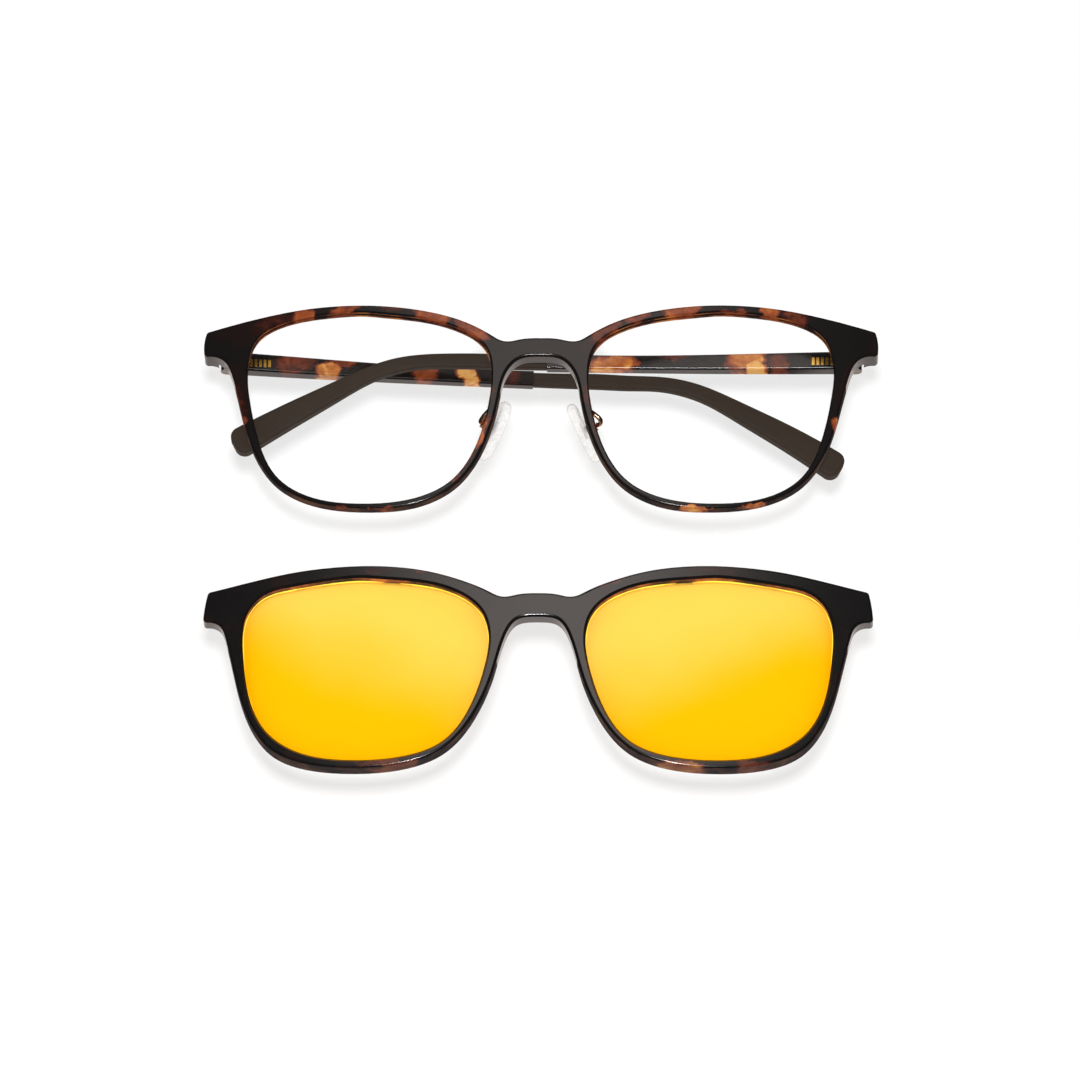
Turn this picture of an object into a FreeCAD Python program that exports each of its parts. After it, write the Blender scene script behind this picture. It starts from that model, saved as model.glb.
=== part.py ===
import FreeCAD, Part
import math
import os

# Spectacles with a magnetic clip-on, in millimetres.
# +X is the wearer's left, +Y points to the back of the head, +Z is up.
# The origin is the nose saddle: the middle of the underside of the bridge.
# Both fronts are bowed round one upright axis far behind the bridge, so the clip-on slides
# straight up in front of the frame at one small gap.  The temples are shown folded.

V = FreeCAD.Vector
SIDES = {"right": -1, "left": 1}    # the wearer's sides, with the sign of X
Z_AXIS = V(0, 0, 1)

doc = FreeCAD.newDocument("spectacles")
sheet = doc.addObject("Spreadsheet::Sheet", "Dimensions")

DIMENSIONS = [
    ("bow_radius", 400, "radius of the frame's face, seen from above"),
    ("bridge_depth", 3.6, "front to back of the bridge"),
    ("saddle_setback", 2.2, "from the bridge's face back to the origin"),
    ("rim_depth", 2.4, "front to back of the rims"),
    ("lens_thickness", 1.0, "clear lens"),
    ("lens_setback", 0.7, "front lip of the lens groove"),
    ("groove_depth", 0.45, "how far a lens edge goes into its rim"),
    ("endpiece_back", 9.6, "Y of the end piece's back face"),
    ("endpiece_inside", 69.9, "X of the inside of the end piece's return"),
    ("clip_gap", 0.2, "gap between the frame's face and the clip-on"),
    ("clip_depth", 3.6, "front to back of the clip-on's rims"),
    ("clip_lens_setback", 2.3, "front lip of the clip-on's groove"),
    ("clip_lens_thickness", 0.9, "yellow lens"),
    ("clip_groove_depth", 0.6, "how far a yellow lens goes into its rim"),
    ("clip_travel", 62.2, "how far the clip-on sits below its worn place"),
    ("clip_drop", 0.6, "how far the worn clip-on sits below the bridge"),
    ("hinge_offset", 68.05, "X of the hinge axis"),
    ("hinge_back", 9.75, "Y of the hinge axis"),
    ("hinge_level", 4.75, "Z of the middle of the hinge"),
    ("barrel_radius", 1.45, "outside of the hinge barrel"),
    ("barrel_height", 6.0, "all the knuckles together"),
    ("knuckle_height", 2.0, "middle knuckle, on the temple"),
    ("knuckle_gap", 0.12, "play between knuckles"),
    ("pin_radius", 0.65, "hinge screw"),
    ("pin_clearance", 0.05, "radial play of the screw in the temple's knuckle"),
    ("right_fold", 7.3, "degrees that the folded right temple leans back"),
    ("left_fold", -0.2, "degrees that the folded left temple leans back"),
    ("arm_length", 66.8, "hinge axis to the end of the stiff arm"),
    ("magnet_radius", 1.6, "disc magnet"),
    ("magnet_height", 1.5, "disc magnet"),
    ("magnet_offset", 66.0, "X of the magnets"),
    ("magnet_level", 6.2, "Z of the magnets above the nose saddle, when worn"),
    ("magnet_skin", 0.5, "plastic in front of the frame's magnet"),
    ("magnet_proud", 0.05, "how far the clip-on's magnet stands out of its back"),
    ("wire_radius", 0.5, "pad arm"),
    ("pad_length", 14.5, "nose pad"),
    ("pad_width", 6.8, "nose pad"),
    ("pad_thickness", 2.2, "nose pad"),
]
for row, (alias, number, note) in enumerate(DIMENSIONS, start=1):
    sheet.set(f"A{row}", alias)
    sheet.set(f"B{row}", str(number))
    sheet.set(f"C{row}", note)
    sheet.setAlias(f"B{row}", alias)
doc.recompute()


def size(alias):
    """The number in the sheet."""
    return float(sheet.get(alias))


def bind(thing, **expressions):
    """Bind properties to sheet aliases; a double underscore stands for a dot."""
    for prop, text in expressions.items():
        thing.setExpression(prop.replace("__", "."), text)
    return thing


def cell(text):
    """The sheet's aliases, each with the sheet's name put before it."""
    names = sorted((alias for alias, _, _ in DIMENSIONS), key=len, reverse=True)
    for alias in names:
        text = text.replace("$" + alias, "Dimensions." + alias)
    return text


# ---------------------------------------------------------------- outlines
# Points of one half, X and Z; the other half is its mirror image.  A top edge runs from the
# middle outwards, an end from top to bottom, and a lower edge from the end back to the middle.

FRAME_TOP = [(0, 4.4), (4.2, 4.15), (6.4, 3.7), (8.1, 3.8), (10.3, 5.0), (16.0, 8.3), (23, 10.75),
             (31, 12.35), (38, 13.05), (45, 13.15), (51, 12.8), (57.3, 11.95), (64.5, 10.6), (72.4, 8.8)]
FRAME_END = [(72.4, 8.8), (73.0, 5.8), (72.8, 2.9)]
FRAME_LOW = [(72.8, 2.9), (70.5, 2.85), (68.4, 1.5), (66.8, -1.7), (65.4, -7), (62.4, -18.5),
             (56, -28.9), (47, -33.75), (36.5, -35.3), (26.5, -34.6), (17.5, -29.9), (11.5, -20.0),
             (8.8, -9.9), (6.9, -3.1), (4.2, -0.5), (0, 0)]
FRAME_APERTURE = [(36, 11.05), (26, 9.5), (16.9, 6.45), (11.8, 2.3), (10.4, -4), (11.15, -11.9),
                  (13.6, -20.9), (19.3, -29.5), (28.5, -33.5), (38, -34.0), (48, -32.3),
                  (56.2, -27), (60.7, -17.5), (62.8, -7.5), (63.3, 0), (61.1, 6.5), (55, 9.9),
                  (46, 11.2)]

CLIP_TOP = [(0, 5.45), (4.3, 5.15), (6.4, 4.7), (8.0, 4.8), (10.3, 5.9), (15.6, 8.35), (22.8, 10.7),
            (30, 12.0), (37, 12.5), (44, 12.4), (51.2, 11.8), (60, 10.3), (70.5, 8.2)]
CLIP_END = [(70.5, 8.2), (71.2, 4.6), (71.5, 1.15)]
CLIP_LOW = [(71.5, 1.15), (69.4, 1.1), (67.8, 0.1), (66.6, -2.6), (65.5, -7), (62.0, -20.2),
            (55.9, -29.5), (47, -33.25), (38.5, -34.2), (29, -33.7), (19.6, -30.2), (12.8, -21.8),
            (9.1, -12.5), (6.9, -4.7), (4.3, -0.7), (0, 0)]
CLIP_APERTURE = [(36, 9.6), (26, 8.45), (16.9, 5.65), (11.8, 1.2), (10.3, -4), (11.1, -11.3),
                 (13.95, -20.2), (19.8, -28.4), (28.8, -31.8), (39, -32.25), (49.8, -30.2), (57.3, -24.9),
                 (61.2, -16.6), (62.7, -6.5), (62.1, 2.2), (59.0, 6.4), (52.3, 8.4), (44.3, 9.4)]


def spline(points, closed=False):
    """A smooth curve through the points."""
    curve = Part.BSplineCurve()
    curve.interpolate(Points=[V(a, b, 0) for a, b in points], PeriodicFlag=closed)
    return curve


def line(start, end):
    return Part.LineSegment(V(*start, 0), V(*end, 0))


def shifted(points, gap, closed=False):
    """The points moved square to their own line, to its left."""
    count = len(points)
    moved = []
    for number, (a, b) in enumerate(points):
        before = points[number - 1] if closed else points[max(number - 1, 0)]
        after = points[(number + 1) % count] if closed else points[min(number + 1, count - 1)]
        across, along = after[1] - before[1], after[0] - before[0]
        length = math.hypot(across, along)
        moved.append((a - gap * across / length, b + gap * along / length))
    return moved


def mirrored(points):
    """The whole curve whose right half is given from the middle outwards."""
    return [(-a, b) for a, b in reversed(points[1:])] + points


def sketch_on(name, curves, plane):
    """A free sketch on the XZ or XY plane."""
    sketch = doc.addObject("Sketcher::SketchObject", name)
    if plane == "XZ":
        sketch.Placement = FreeCAD.Placement(V(), FreeCAD.Rotation(V(1, 0, 0), 90))
    for curve in curves:
        sketch.addGeometry(curve, False)
    return sketch


def front_outline(name, top, end, low):
    low_out = list(reversed(low))
    curves = [spline(mirrored(top)), spline(mirrored(low_out))]
    curves.append(spline(end))
    curves.append(spline([(-a, b) for a, b in end]))
    return sketch_on(name, curves, "XZ")


def extrusion(name, sketch, direction, forward, backward="0"):
    block = doc.addObject("Part::Extrusion", name)
    block.Base = sketch
    block.DirMode = "Custom"
    block.Dir = direction
    block.Solid = True
    bind(block, LengthFwd=cell(forward), LengthRev=cell(backward))
    return block


def common(name, first, second):
    both = doc.addObject("Part::Common", name)
    both.Base = first
    both.Tool = second
    return both


def cut(name, base, *tools):
    """The base less each tool in turn; the last cut carries the name."""
    for number, tool in enumerate(tools, start=1):
        last = number == len(tools)
        less = doc.addObject("Part::Cut", name if last else f"{name}_less_{number}")
        less.Base = base
        less.Tool = tool
        base = less
    return base


def fuse(name, *pieces):
    whole = doc.addObject("Part::MultiFuse", name)
    whole.Shapes = list(pieces)
    return whole


def cylinder(name, radius, height, place=None, **expressions):
    rod = doc.addObject("Part::Cylinder", name)
    rod.Placement = place or FreeCAD.Placement()
    bind(rod, Radius=cell(radius), Height=cell(height))
    return bind(rod, **{key: cell(text) for key, text in expressions.items()})


def box(name, length, width, height, **expressions):
    block = doc.addObject("Part::Box", name)
    bind(block, Length=cell(length), Width=cell(width), Height=cell(height))
    return bind(block, **{key: cell(text) for key, text in expressions.items()})


BLOCK_UP = 90           # tall enough to pass the fronts both ways


def bow_shell(name, outer, inner):
    """The space between two upright cylinders round the bow's axis."""
    parts = []
    for label, radius in (("outer", outer), ("inner", inner)):
        parts.append(cylinder(f"{name}_{label}", radius, str(2 * BLOCK_UP),
                              Placement__Base__y="$bow_radius - $saddle_setback",
                              Placement__Base__z=str(-BLOCK_UP)))
    return cut(name, parts[0], parts[1])


def edges_where(shape, test):
    """Numbers of the edges whose middle point passes the test."""
    chosen = []
    for number, edge in enumerate(shape.Edges, start=1):
        middle = edge.valueAt((edge.FirstParameter + edge.LastParameter) / 2)
        if test(middle, edge):
            chosen.append(number)
    return chosen


def round_edges(name, base, radius, test, kind="Part::Fillet"):
    """Fillet or chamfer the edges that pass the test."""
    doc.recompute()
    numbers = edges_where(base.Shape, test)
    rounded = doc.addObject(kind, name)
    rounded.Base = base
    rounded.Edges = [(number, radius, radius) for number in numbers]
    return rounded


def bow_distance(point):
    """Distance of a point from the bow's axis, seen from above."""
    return math.hypot(point.x, point.y - size("bow_radius") + size("saddle_setback"))


def end_corners(point, edge):
    """The upright corners at the outer ends of a front."""
    span = edge.BoundBox
    return abs(point.x) > 70.2 and span.YLength > 1.5 and span.XLength < 0.5 and span.ZLength < 0.5


def on_radius(radius):
    return lambda point, edge: abs(bow_distance(point) - radius) < 0.02 and edge.Length > 0.3


def give_label(thing, node):
    thing.Label = node
    nodes.append(thing)
    return thing


def placed_node(source, node, place=None, **expressions):
    """The finished piece, moved from where it was drawn to where it sits."""
    piece = doc.addObject("Part::Compound", f"{node}_placed")
    piece.Links = [source]
    piece.Placement = place or FreeCAD.Placement()
    bind(piece, **{key: cell(text) for key, text in expressions.items()})
    return give_label(piece, node)


nodes = []


# ---------------------------------------------------------------- front of the spectacles

def circle_y(x, radius):
    """Y on the front side of a circle round the bow's axis."""
    return size("bow_radius") - size("saddle_setback") - math.sqrt(radius**2 - x**2)


def bow_arc(radius, start_x, end_x):
    """An arc of the bow in the XY plane, between two X values."""
    points = [(x, circle_y(x, radius)) for x in (start_x, (start_x + end_x) / 2, end_x)]
    return Part.Arc(*[V(x, y, 0) for x, y in points])


BRIDGE_HALF = 8.0           # the bridge keeps its full depth this far out
BRIDGE_BLEND = 14.5         # and has thinned to the rims' depth here
RIM_END = 63.2              # the rims' back ends here
RAMP_END = 66.4             # the end piece is thick from here out
HINGE_SEAT = 7.9            # Y of the end piece's back, inside its return
FAR_OUT = 80


def frame_plan():
    """The front seen from above: the bowed face, the thin rims, the thick bridge and ends."""
    face = size("bow_radius")
    bridge = face - size("bridge_depth")
    rim = face - size("rim_depth")
    inside = size("endpiece_inside")
    back = size("endpiece_back")
    curves = [bow_arc(face, -FAR_OUT, FAR_OUT), bow_arc(bridge, -BRIDGE_HALF, BRIDGE_HALF)]
    for sign in (-1, 1):
        corners = [(BRIDGE_HALF, circle_y(BRIDGE_HALF, bridge)), (BRIDGE_BLEND, circle_y(BRIDGE_BLEND, rim))]
        curves.append(line(*[(sign * x, y) for x, y in corners]))
        curves.append(bow_arc(rim, sign * BRIDGE_BLEND, sign * RIM_END))
        corners = [(RIM_END, circle_y(RIM_END, rim)), (RAMP_END, HINGE_SEAT), (inside, HINGE_SEAT),
                   (inside, back), (FAR_OUT, back), (FAR_OUT, circle_y(FAR_OUT, face))]
        for start, end in zip(corners, corners[1:]):
            curves.append(line((sign * start[0], start[1]), (sign * end[0], end[1])))
    return sketch_on("frame_plan", curves, "XY")


def aperture_sketch(name, points, side):
    return sketch_on(name, [spline([(SIDES[side] * a, b) for a, b in points], True)], "XZ")


def lens_solid(name, opening, side, groove, shell):
    """A lens: the opening's outline grown by the groove's depth, cut from a bowed shell."""
    grown = aperture_sketch(f"{name}_outline", shifted(opening, -size(groove), True), side)
    block = extrusion(f"{name}_block", grown, V(0, 1, 0), "30", "12")
    return common(name, block, shell)


frame_outline = front_outline("frame_outline", FRAME_TOP, FRAME_END, FRAME_LOW)
frame_block = extrusion("frame_block", frame_outline, V(0, 1, 0), "16", "8")
frame_depth = extrusion("frame_depth", frame_plan(), Z_AXIS, str(BLOCK_UP), str(BLOCK_UP))
frame_blank = common("frame_blank", frame_block, frame_depth)
frame_ends = round_edges("frame_ends", frame_blank, 0.9, end_corners)
frame_body = round_edges("frame_rounded", frame_ends, 0.6, on_radius(size("bow_radius")))

lens_shell = bow_shell("lens_shell", "$bow_radius - $lens_setback",
                       "$bow_radius - $lens_setback - $lens_thickness")
openings, lenses = {}, {}
for side in SIDES:
    openings[side] = aperture_sketch(f"aperture_{side}", FRAME_APERTURE, side)
    lenses[side] = lens_solid(f"lens_{side}", FRAME_APERTURE, side, "groove_depth", lens_shell)
holes = [extrusion(f"aperture_block_{side}", openings[side], V(0, 1, 0), "16", "8") for side in SIDES]
frame_open = cut("frame_open", frame_body, *holes)
doc.recompute()


def near_aperture(radius, blocks):
    """Edges where an opening meets the face."""
    def test(point, edge):
        if abs(bow_distance(point) - radius) > 0.02:
            return False
        probe = Part.Vertex(point)
        return any(block.Shape.distToShape(probe)[0] < 0.01 for block in blocks)
    return test


frame_bevelled = round_edges("frame_bevelled", frame_open, 0.35,
                             near_aperture(size("bow_radius"), holes), "Part::Chamfer")

# ---------------------------------------------------------------- hinges, screws and magnets


def at(x, y, z, turn=0):
    return FreeCAD.Placement(V(x, y, z), FreeCAD.Rotation(Z_AXIS, turn))


def radial_disc(name, side, outer, level, radius="$magnet_radius", height="$magnet_height"):
    """A disc whose round face looks along the bow's radius, its front at the given bow radius."""
    angle = math.asin(size("magnet_offset") / outer) * SIDES[side]
    axis_y = size("bow_radius") - size("saddle_setback")
    base = V(math.sin(angle) * outer, axis_y - math.cos(angle) * outer, level)
    inward = V(-math.sin(angle), math.cos(angle), 0)
    place = FreeCAD.Placement(base, FreeCAD.Rotation(Z_AXIS, inward))
    return cylinder(name, radius, height, place)


def hinge_cylinder(name, side, radius, height, bottom):
    """An upright cylinder on a hinge axis; its bottom is given from the hinge's middle."""
    return cylinder(name, radius, height,
                    Placement__Base__x=f"{SIDES[side]} * $hinge_offset",
                    Placement__Base__y="$hinge_back",
                    Placement__Base__z=f"$hinge_level + ({bottom})")


LEAF_HALF = 0.7             # half the leaf's thickness
LEAF_FRONT = 5.5            # Y of the leaf's front edge, sunk in the end piece
SLOT_REACH = 1.75           # room round the temple's knuckle


def front_leaf(side):
    """The frame's half of the hinge: a sunk plate with a knuckle above and one below."""
    x = f"{SIDES[side]} * $hinge_offset - {LEAF_HALF}"
    plate = box(f"leaf_plate_{side}", str(2 * LEAF_HALF), f"$hinge_back - {LEAF_FRONT}", "$barrel_height",
                Placement__Base__x=x, Placement__Base__y=str(LEAF_FRONT),
                Placement__Base__z="$hinge_level - $barrel_height / 2")
    barrel = hinge_cylinder(f"leaf_barrel_{side}", side, "$barrel_radius", "$barrel_height",
                            "-$barrel_height / 2")
    slot = hinge_cylinder(f"leaf_slot_{side}", side, str(SLOT_REACH), "$knuckle_height + 2 * $knuckle_gap",
                          "-$knuckle_height / 2 - $knuckle_gap")
    bore = hinge_cylinder(f"leaf_bore_{side}", side, "$pin_radius", "$barrel_height + 2",
                          "-$barrel_height / 2 - 1")
    return cut(f"hinge_front_leaf_{side}", fuse(f"leaf_whole_{side}", plate, barrel), slot, bore), plate


def hinge_screw(side):
    """A slotted screw whose head sits on the upper knuckle."""
    shank = hinge_cylinder(f"screw_shank_{side}", side, "$pin_radius", "$barrel_height",
                           "-$barrel_height / 2")
    head = hinge_cylinder(f"screw_head_{side}", side, "1.15", "0.55", "$barrel_height / 2")
    slot = box(f"screw_slot_{side}", "3", "0.3", "0.3",
               Placement__Base__x=f"{SIDES[side]} * $hinge_offset - 1.5",
               Placement__Base__y="$hinge_back - 0.15",
               Placement__Base__z="$hinge_level + $barrel_height / 2 + 0.3")
    screw = fuse(f"screw_whole_{side}", shank, head)
    return cut(f"hinge_screw_{side}", screw, slot)


frame_tools = []
for side in SIDES:
    leaf, plate = front_leaf(side)
    give_label(leaf, f"hinge_front_leaf_{side}")
    give_label(hinge_screw(side), f"hinge_screw_{side}")
    magnet = radial_disc(f"frame_magnet_{side}", side, size("bow_radius") - size("magnet_skin"),
                         size("magnet_level"))
    give_label(magnet, f"frame_magnet_{side}")
    give_label(lenses[side], f"lens_{side}")
    frame_tools += [lenses[side], magnet, plate]

# ---------------------------------------------------------------- pad arms and nose pads

# a pad's box: X, Y, Z on the wearer's left; its lean from upright and its splay from the front
PAD_SEATS = {"right": ((11.7, 7.3, -11.8), 21, 58), "left": ((11.2, 7.3, -12.4), 24, 76)}
# each wire leaves the back of the rim, swings outwards and comes round to the back of the box
WIRE_START = {
    "right": [(9.8, -0.5, -9.0), (9.9, 2.8, -9.0), (10.8, 4.6, -9.6), (12.2, 5.5, -10.8)],
    "left": [(9.9, -0.5, -10.3), (10.1, 2.8, -10.3), (11.6, 4.6, -10.7), (13.0, 5.4, -11.9)],
}
WIRE_LEAD = 0.6             # the last bend is this far behind the box
WIRE_SAG = 0.4
BOX_LONG = 2.2
BOX_WIDE = 1.8
BOX_DEEP = 1.7
CHANNEL_WIDE = 1.1
CHANNEL_FLOOR = 0.1
POST_WIDE = 0.8
POST_RADIUS = 0.6
PAD_SCREW = 0.35
PAD_LIFT = 0.35             # the soft pad stands this far off its box
PAD_DROP = 0.5              # its middle lies this far below the screw
PLATE_DEEP = 0.4            # metal plate moulded into the pad
RECESS = ((-5.6, -1.4), (4.4, 1.4), 0.45)   # shallow trough round the foot, on the pad's outer side


def pad_place(side):
    """The pad's own frame: X up along the pad, Y across it, Z square to it."""
    sign = SIDES[side]
    (x, y, z), lean, splay = PAD_SEATS[side]
    lean, splay = math.radians(-sign * lean), math.radians(splay)
    long_axis = V(math.sin(lean), 0, math.cos(lean))
    inward = V(math.cos(lean), 0, -math.sin(lean)) * (-sign)
    across = inward * math.cos(splay) - V(0, 1, 0) * math.sin(splay)
    turn = FreeCAD.Rotation(long_axis, across, long_axis.cross(across), "ZXY")
    return FreeCAD.Placement(V(sign * x, y, z), turn)


def block_between(name, low, high):
    """A box from its lowest to its highest corner."""
    block = doc.addObject("Part::Box", name)
    block.Length, block.Width, block.Height = (b - a for a, b in zip(low, high))
    block.Placement.Base = V(*low)
    return block


def span(nose, near, far):
    """A stretch of Z measured towards the nose, in rising order."""
    return sorted((nose * near, nose * far))


def cross_bar(name, radius, half):
    """A bar along Y through the origin."""
    turn = FreeCAD.Rotation(V(1, 0, 0), -90)
    return cylinder(name, str(radius), str(2 * half), FreeCAD.Placement(V(0, -half, 0), turn))


def pad_box(side, nose):
    """The small channel that holds the pad's post, and its screw."""
    low, high = span(nose, -BOX_DEEP / 2, BOX_DEEP / 2)
    shell = block_between(f"box_shell_{side}", (-BOX_LONG / 2, -BOX_WIDE / 2, low),
                          (BOX_LONG / 2, BOX_WIDE / 2, high))
    low, high = span(nose, CHANNEL_FLOOR - BOX_DEEP / 2, BOX_DEEP)
    channel = block_between(f"box_channel_{side}", (-BOX_LONG, -CHANNEL_WIDE / 2, low),
                            (BOX_LONG, CHANNEL_WIDE / 2, high))
    bore = cross_bar(f"box_bore_{side}", PAD_SCREW, BOX_WIDE)
    return cut(f"channel_{side}", shell, channel, bore)


def pad_post(side, nose):
    """The pad's metal foot: an eye on the screw, a web, and a plate inside the soft pad."""
    foot = BOX_DEEP / 2 + PAD_LIFT
    eye = cross_bar(f"post_eye_{side}", POST_RADIUS, POST_WIDE / 2)
    low, high = span(nose, 0, foot + 1)
    web = block_between(f"post_web_{side}", (-POST_RADIUS, -POST_WIDE / 2, low),
                        (POST_RADIUS, POST_WIDE / 2, high))
    low, high = span(nose, foot + RECESS[2] + 0.3, foot + RECESS[2] + 0.3 + PLATE_DEEP)
    plate = block_between(f"post_plate_{side}", (-1.7, -0.9, low), (1.5, 0.9, high))
    bore = cross_bar(f"post_bore_{side}", PAD_SCREW + 0.05, BOX_WIDE)
    return cut(f"post_{side}", fuse(f"post_whole_{side}", eye, web, plate), bore)


def pad_outline():
    """Half of a pad's outline as fractions of its half length and half width."""
    half = [(1, 0), (0.93, 0.45), (0.66, 0.84), (0.2, 1), (-0.35, 0.97), (-0.78, 0.72), (-0.96, 0.34)]
    return half + [(-1, 0)] + [(a, -b) for a, b in reversed(half[1:])]


def soft_pad(side, nose, post):
    """The silicone pad, rounded all the way round."""
    reach = [(size("pad_length") / 2 * a - PAD_DROP, size("pad_width") / 2 * b) for a, b in pad_outline()]
    outline = sketch_on(f"pad_outline_{side}", [spline(reach, True)], "XY")
    foot = BOX_DEEP / 2 + PAD_LIFT
    outline.Placement.Base = V(0, 0, nose * foot)
    block = extrusion(f"pad_block_{side}", outline, V(0, 0, nose), "$pad_thickness")
    rounded = round_edges(f"pad_round_{side}", block, 1.0, lambda point, edge: True)
    (start, left), (end, right), deep = RECESS
    low, high = span(nose, foot - 1, foot + deep)
    trough = block_between(f"pad_trough_{side}", (start, left, low), (end, right, high))
    return cut(f"pad_{side}", rounded, trough, post)


def pad_wire(side, place, nose):
    """The pad arm: a round bar from the rim to the back of the box."""
    sign = SIDES[side]
    back = place.Rotation.multVec(V(0, 0, -nose))
    end = place.Base + back * (BOX_DEEP / 2)
    points = [V(sign * x, y, z) for x, y, z in WIRE_START[side]]
    points += [end + back * WIRE_LEAD - V(0, 0, WIRE_SAG), end]
    curve = Part.BSplineCurve()
    curve.interpolate(Points=points)
    spine = doc.addObject("Part::Feature", f"wire_spine_{side}")
    spine.Shape = curve.toShape()
    ring = doc.addObject("Part::Circle", f"wire_ring_{side}")
    bind(ring, Radius=cell("$wire_radius"))
    start = curve.tangent(curve.FirstParameter)[0]
    ring.Placement = FreeCAD.Placement(points[0], FreeCAD.Rotation(Z_AXIS, start))
    wire = doc.addObject("Part::Sweep", f"wire_{side}")
    wire.Sections = [ring]
    wire.Spine = (spine, ["Edge1"])
    wire.Solid = True
    return wire


for side in SIDES:
    place = pad_place(side)
    nose = -SIDES[side]
    wire = pad_wire(side, place, nose)
    channel = doc.addObject("Part::Compound", f"pad_box_{side}")
    channel.Links = [pad_box(side, nose)]
    channel.Placement = place
    give_label(fuse(f"wire_and_box_{side}", wire, channel), f"pad_arm_{side}")
    frame_tools.append(wire)
    post = pad_post(side, nose)
    placed_node(cross_bar(f"rock_screw_{side}", PAD_SCREW, BOX_WIDE / 2 + 0.15), f"pad_screw_{side}", place)
    placed_node(post, f"pad_post_{side}", place)
    placed_node(soft_pad(side, nose, post), f"nose_pad_{side}", place)

frame = cut("front_frame", frame_bevelled, *frame_tools)
give_label(frame, "front_frame")

# ---------------------------------------------------------------- temples

# Each temple is drawn in its own frame: the hinge axis is the origin, the arm runs away from
# it along X, Y grows outwards through the arm (inner face first), Z is up.
ARM_END = size("arm_length")
ARM_TOP = [(0.15, 2.1), (8, 1.9), (37, 1.15), (ARM_END, 1.4)]
ARM_LOW = [(0.15, -2.1), (8, -2.2), (37, -2.35), (ARM_END, -2.15)]
ARM_OUT = [(0.15, 3.6), (8, 3.5), (37, 3.05), (ARM_END, 2.75)]
ARM_IN = 0.15
TIP_TOP = [(ARM_END, 1.1), (74, 1.35), (82, 1.65), (88, 1.65), (94, 1.3), (99, 0.5), (104, -1.1),
           (112, -5.0), (124, -11.25), (135.8, -17.8)]
TIP_LOW = [(ARM_END, -1.95), (74, -1.9), (82, -1.75), (88, -1.65), (94, -1.9), (99, -2.9),
           (104, -4.8), (112, -9.7), (122, -16.3), (132.9, -23.6)]
TIP_OUT = [(ARM_END, 2.5), (88, 2.45), (105, 2.8), (124, 3.4), (138, 3.5)]
TIP_IN = 0.3
PLATE_END = 10.6            # the hinge's plate ends and the core starts here
CORE_LINE = [(PLATE_END, -0.1), (37, -0.5), (ARM_END, -0.45), (80, -0.15), (88, 0), (95, -0.4), (101, -1.7),
             (106, -3.9), (115, -9.1), (127, -16.1)]
# the wearer's right tip is bent a little less: it is raised from the first point to the second
TIP_RAISE = {"right": 2.6, "left": 0.5}
RAISE_FROM, RAISE_TO = 88, 121
CORE_HALF = 0.6
CORE_FACES = (1.0, 1.8)
NOTCH_RADIUS = 1.75
PLATE_FACES = (0.7, 1.8)
PLATE_HALF = 0.75
ANCHOR_START = 4.8
ANCHOR_END = 9.4
ANCHOR_LEVEL = (-1.3, 0.4)
RIB_COUNT = 5
RIB_WIDTH = 0.62
RIB_PROUD = 0.1


def raised(points, side):
    """The points of a tip's edge, lifted more and more along the bend."""
    share = [min(max((a - RAISE_FROM) / (RAISE_TO - RAISE_FROM), 0), 1) for a, _ in points]
    return [(a, b + TIP_RAISE[side] * part) for (a, b), part in zip(points, share)]


def strip(name, top, low, way, plane="XZ"):
    """A sketch between two smooth edges, closed by straight ends; way is the sign of X."""
    top, low = ([(way * a, b) for a, b in points] for points in (top, low))
    curves = [spline(top), spline(low), line(top[0], low[0]), line(top[-1], low[-1])]
    return sketch_on(name, curves, plane)


def bar(name, top, low, inner, outer, way):
    """A bar with a side view and a view from above, drawn square to each other."""
    face = [(outer[0][0], inner), (outer[-1][0], inner)]
    side_view = extrusion(f"{name}_side_view", strip(f"{name}_side", top, low, way), V(0, 1, 0), "8", "2")
    plan = extrusion(f"{name}_plan_view", strip(f"{name}_plan", outer, face, way, "XY"), Z_AXIS, "30", "30")
    return common(f"{name}_blank", side_view, plan)


def lengthwise(point, edge):
    """Edges that run along the temple."""
    box = edge.BoundBox
    return box.XLength > 20


def temple_leaf(side, way):
    """The temple's half of the hinge: the middle knuckle and the plate sunk in the arm."""
    knuckle = cylinder(f"knuckle_{side}", "$barrel_radius", "$knuckle_height",
                       Placement__Base__z="-$knuckle_height / 2")
    reach = sorted((way * 0.9, way * PLATE_END))
    plate = block_between(f"knuckle_plate_{side}", (reach[0], PLATE_FACES[0], -PLATE_HALF),
                          (reach[1], PLATE_FACES[1], PLATE_HALF))
    bore = cylinder(f"knuckle_bore_{side}", "$pin_radius + $pin_clearance", "$barrel_height",
                    Placement__Base__z="-$barrel_height / 2")
    return cut(f"knuckle_leaf_{side}", fuse(f"knuckle_whole_{side}", knuckle, plate), bore)


def hinge_anchor(side, way):
    """A ribbed brass comb that shows in the arm's inner face and backs onto the plate."""
    low, high = ANCHOR_LEVEL
    reach = sorted((way * ANCHOR_START, way * ANCHOR_END))
    back = block_between(f"anchor_back_{side}", (reach[0], ARM_IN + 0.25, low),
                         (reach[1], PLATE_FACES[0], high))
    pitch = (ANCHOR_END - ANCHOR_START - RIB_WIDTH) / (RIB_COUNT - 1)
    ribs = []
    for number in range(RIB_COUNT):
        start = ANCHOR_START + number * pitch
        ends = sorted((way * start, way * (start + RIB_WIDTH)))
        ribs.append(block_between(f"anchor_rib_{side}_{number}", (ends[0], ARM_IN - RIB_PROUD, low),
                                  (ends[1], ARM_IN + 0.3, high)))
    return fuse(f"comb_{side}", back, *ribs)


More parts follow.
